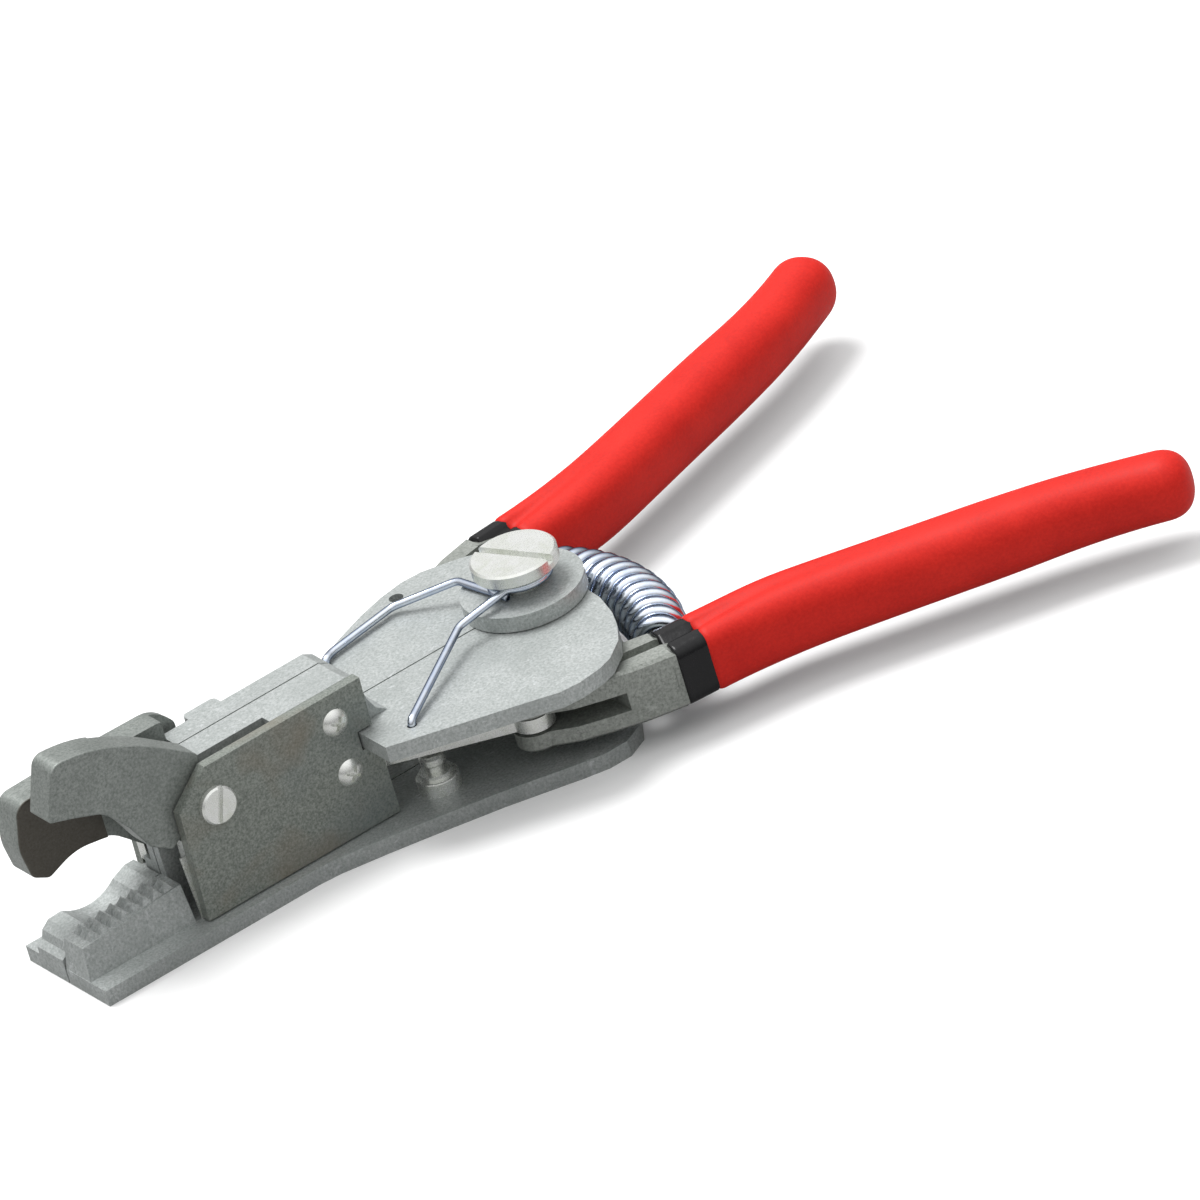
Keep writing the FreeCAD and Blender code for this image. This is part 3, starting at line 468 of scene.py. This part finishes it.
cast_metal = grained_metal("cast_zinc_alloy", (0.28, 0.305, 0.295, 1), (0.62, 0.645, 0.64, 1), (0.84, 0.86, 0.88, 1),
                           metallic=0.45, rough=0.44, nicks=0.28)
# the jaw steel carries a painted shade, dark brown, beside the parting plane where the two jaws meet
jaw_metal = grained_metal("jaw_steel", (0.16, 0.178, 0.165, 1), (0.40, 0.425, 0.405, 1), (0.56, 0.58, 0.57, 1),
                          metallic=0.5, rough=0.42, nicks=0.10, parting_shade=(0.055, 0.043, 0.030, 1))
arm_metal = grained_metal("handle_steel", (0.19, 0.205, 0.185, 1), (0.48, 0.50, 0.47, 1), (0.66, 0.68, 0.66, 1),
                          metallic=0.5, rough=0.44, nicks=0.2)
plate_metal = stained_plate("side_plate_steel")
zinc = plated("zinc_plating", (0.84, 0.85, 0.83, 1), (0.74, 0.76, 0.70, 1), rough=0.28, metallic=0.8)
# The spring plating's blue colour and blue clouds are painted blue reflections, and its dark blue rim is a painted
# dark reflection at grazing angles.
chrome = plated("spring_plating", (0.86, 0.91, 0.99, 1), (0.66, 0.75, 0.92, 1), rough=0.13,
                rim=(0.10, 0.15, 0.27, 1))
red = dipped("red_vinyl_dip", (0.56, 0.010, 0.006, 1), (0.76, 0.024, 0.014, 1), rough=0.50, relief=0.06, gloss=0.22,
             bounce=(0.30, 0.22, 0.22, 1))
black = dipped("black_vinyl_undercoat", (0.005, 0.005, 0.006, 1), (0.010, 0.010, 0.011, 1), rough=0.20, relief=0.01,
               gloss=0.30)

FINISHES = {
    "frame_casting": cast_metal, "side_plate": plate_metal, "plate_screws": zinc, "jaw_screw": zinc,
    "guide_stud": zinc, "pivot_bolt": zinc, "upper_jaw": jaw_metal, "drive_pin": zinc, "link_pin": zinc,
    "handle_arm": arm_metal, "link": zinc, "handle_band": black, "handle_grip": red, "frame_spring": chrome,
    "handle_spring": chrome, "guide_strip": zinc,
}


def finish_of(node_name):
    """The finish by the node's name without near_ or far_."""
    short = node_name.split("_", 1)[1] if node_name.startswith(("near_", "far_")) else node_name
    return FINISHES[short]


for node_name, piece in nodes.items():
    piece.data.materials.clear()
    piece.data.materials.append(finish_of(node_name))

# ---------------------------------------------------------------- new pieces
for side, word in ((-1, "near"), (1, "far")):
    coat = grip(side, word + "_grip_coat", red)
    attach(coat, word + "_handle")
    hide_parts(word + "_handle_grip")
    under = band(side, word + "_band_coat", black)
    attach(under, word + "_handle")
    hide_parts(word + "_handle_band")

near_turns = arch_coil("arch_spring_near", -ARCH_HALF_ANGLE, -ARCH_SPLIT, chrome)
middle_turns = arch_coil("arch_spring_middle", -ARCH_SPLIT, ARCH_SPLIT, chrome)
far_turns = arch_coil("arch_spring_far", ARCH_SPLIT, ARCH_HALF_ANGLE, chrome)
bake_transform(near_turns)
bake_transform(middle_turns)
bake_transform(far_turns)
for turns in (near_turns, middle_turns, far_turns):
    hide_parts("handle_spring")

v_spring = frame_coil("v_spring", chrome)
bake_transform(v_spring)
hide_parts("frame_spring")

# ---------------------------------------------------------------- floor, light and camera
FLOOR_HALF = 3                  # half the floor's side, in metres, as all lengths below are
FLOOR_SEEN = (0.95, 0.95, 0.95, 1)
FLOOR_THROWN = (0.42, 0.42, 0.42, 1)
SKY_LOW, SKY_HIGH = 0.08, 1.25  # strength of the light from the horizon, and from SKY_TOP up
SKY_TOP = 0.9
SUN_WAY = Vector((0.06, -0.38, -1.0))
RIGHT = Vector((0.80362, -0.53658, -0.25746)).normalized()
UPWARD = Vector((0.46525, 0.29663, 0.83400)).normalized()
BACK = RIGHT.cross(UPWARD).normalized()
VIEW_WIDTH = 0.1875
VIEW_CENTRE = Vector((0, 0, 0.0192)) + RIGHT * 0.01152 - UPWARD * 0.000245

floor_mesh = bpy.data.meshes.new("floor")
floor_mesh.from_pydata([(-FLOOR_HALF, -FLOOR_HALF, 0), (FLOOR_HALF, -FLOOR_HALF, 0), (FLOOR_HALF, FLOOR_HALF, 0),
                        (-FLOOR_HALF, FLOOR_HALF, 0)], [], [(0, 1, 2, 3)])
floor = bpy.data.objects.new("floor", floor_mesh)
bpy.context.scene.collection.objects.link(floor)
floor_material, floor_tree, floor_shader = new_material("floor_paper")
seen = floor_tree.nodes.new("ShaderNodeLightPath")
floor_tree.links.new(mixed(floor_tree, seen.outputs["Is Camera Ray"], FLOOR_THROWN, FLOOR_SEEN),
                     floor_shader.inputs["Base Color"])
floor_shader.inputs["Roughness"].default_value = 0.9
floor_shader.inputs["Specular IOR Level"].default_value = 0.0
floor_mesh.materials.append(floor_material)

world = bpy.data.worlds.new("studio")
bpy.context.scene.world = world
world.use_nodes = True
sky = world.node_tree
background = sky.nodes["Background"]
direction = sky.nodes.new("ShaderNodeTexCoord")
direction_axes = sky.nodes.new("ShaderNodeSeparateXYZ")
sky.links.new(direction.outputs["Generated"], direction_axes.inputs[0])
sky.links.new(remap(sky, direction_axes.outputs["Z"], 0.0, SKY_TOP, SKY_LOW, SKY_HIGH), background.inputs["Strength"])
background.inputs["Color"].default_value = (1.0, 1.0, 1.0, 1)

sun = bpy.data.lights.new("key", "SUN")
sun.energy = 2.1
sun.angle = math.radians(30)
sun_lamp = bpy.data.objects.new("key", sun)
sun_lamp.rotation_euler = SUN_WAY.to_track_quat("-Z", "Y").to_euler()
bpy.context.scene.collection.objects.link(sun_lamp)

bpy.context.scene.view_settings.view_transform = "Standard"
bpy.context.scene.view_settings.look = "None"

camera = bpy.data.cameras.new("camera")
camera.lens = 1200.0
camera.sensor_width = 36.0
camera.clip_start = 0.1
camera.clip_end = 100.0
distance = VIEW_WIDTH * camera.lens / camera.sensor_width
turned = Matrix((RIGHT, UPWARD, BACK)).transposed().to_4x4()
eye = bpy.data.objects.new("camera", camera)
eye.matrix_world = Matrix.Translation(VIEW_CENTRE + BACK * distance) @ turned
bpy.context.scene.collection.objects.link(eye)
bpy.context.scene.camera = eye
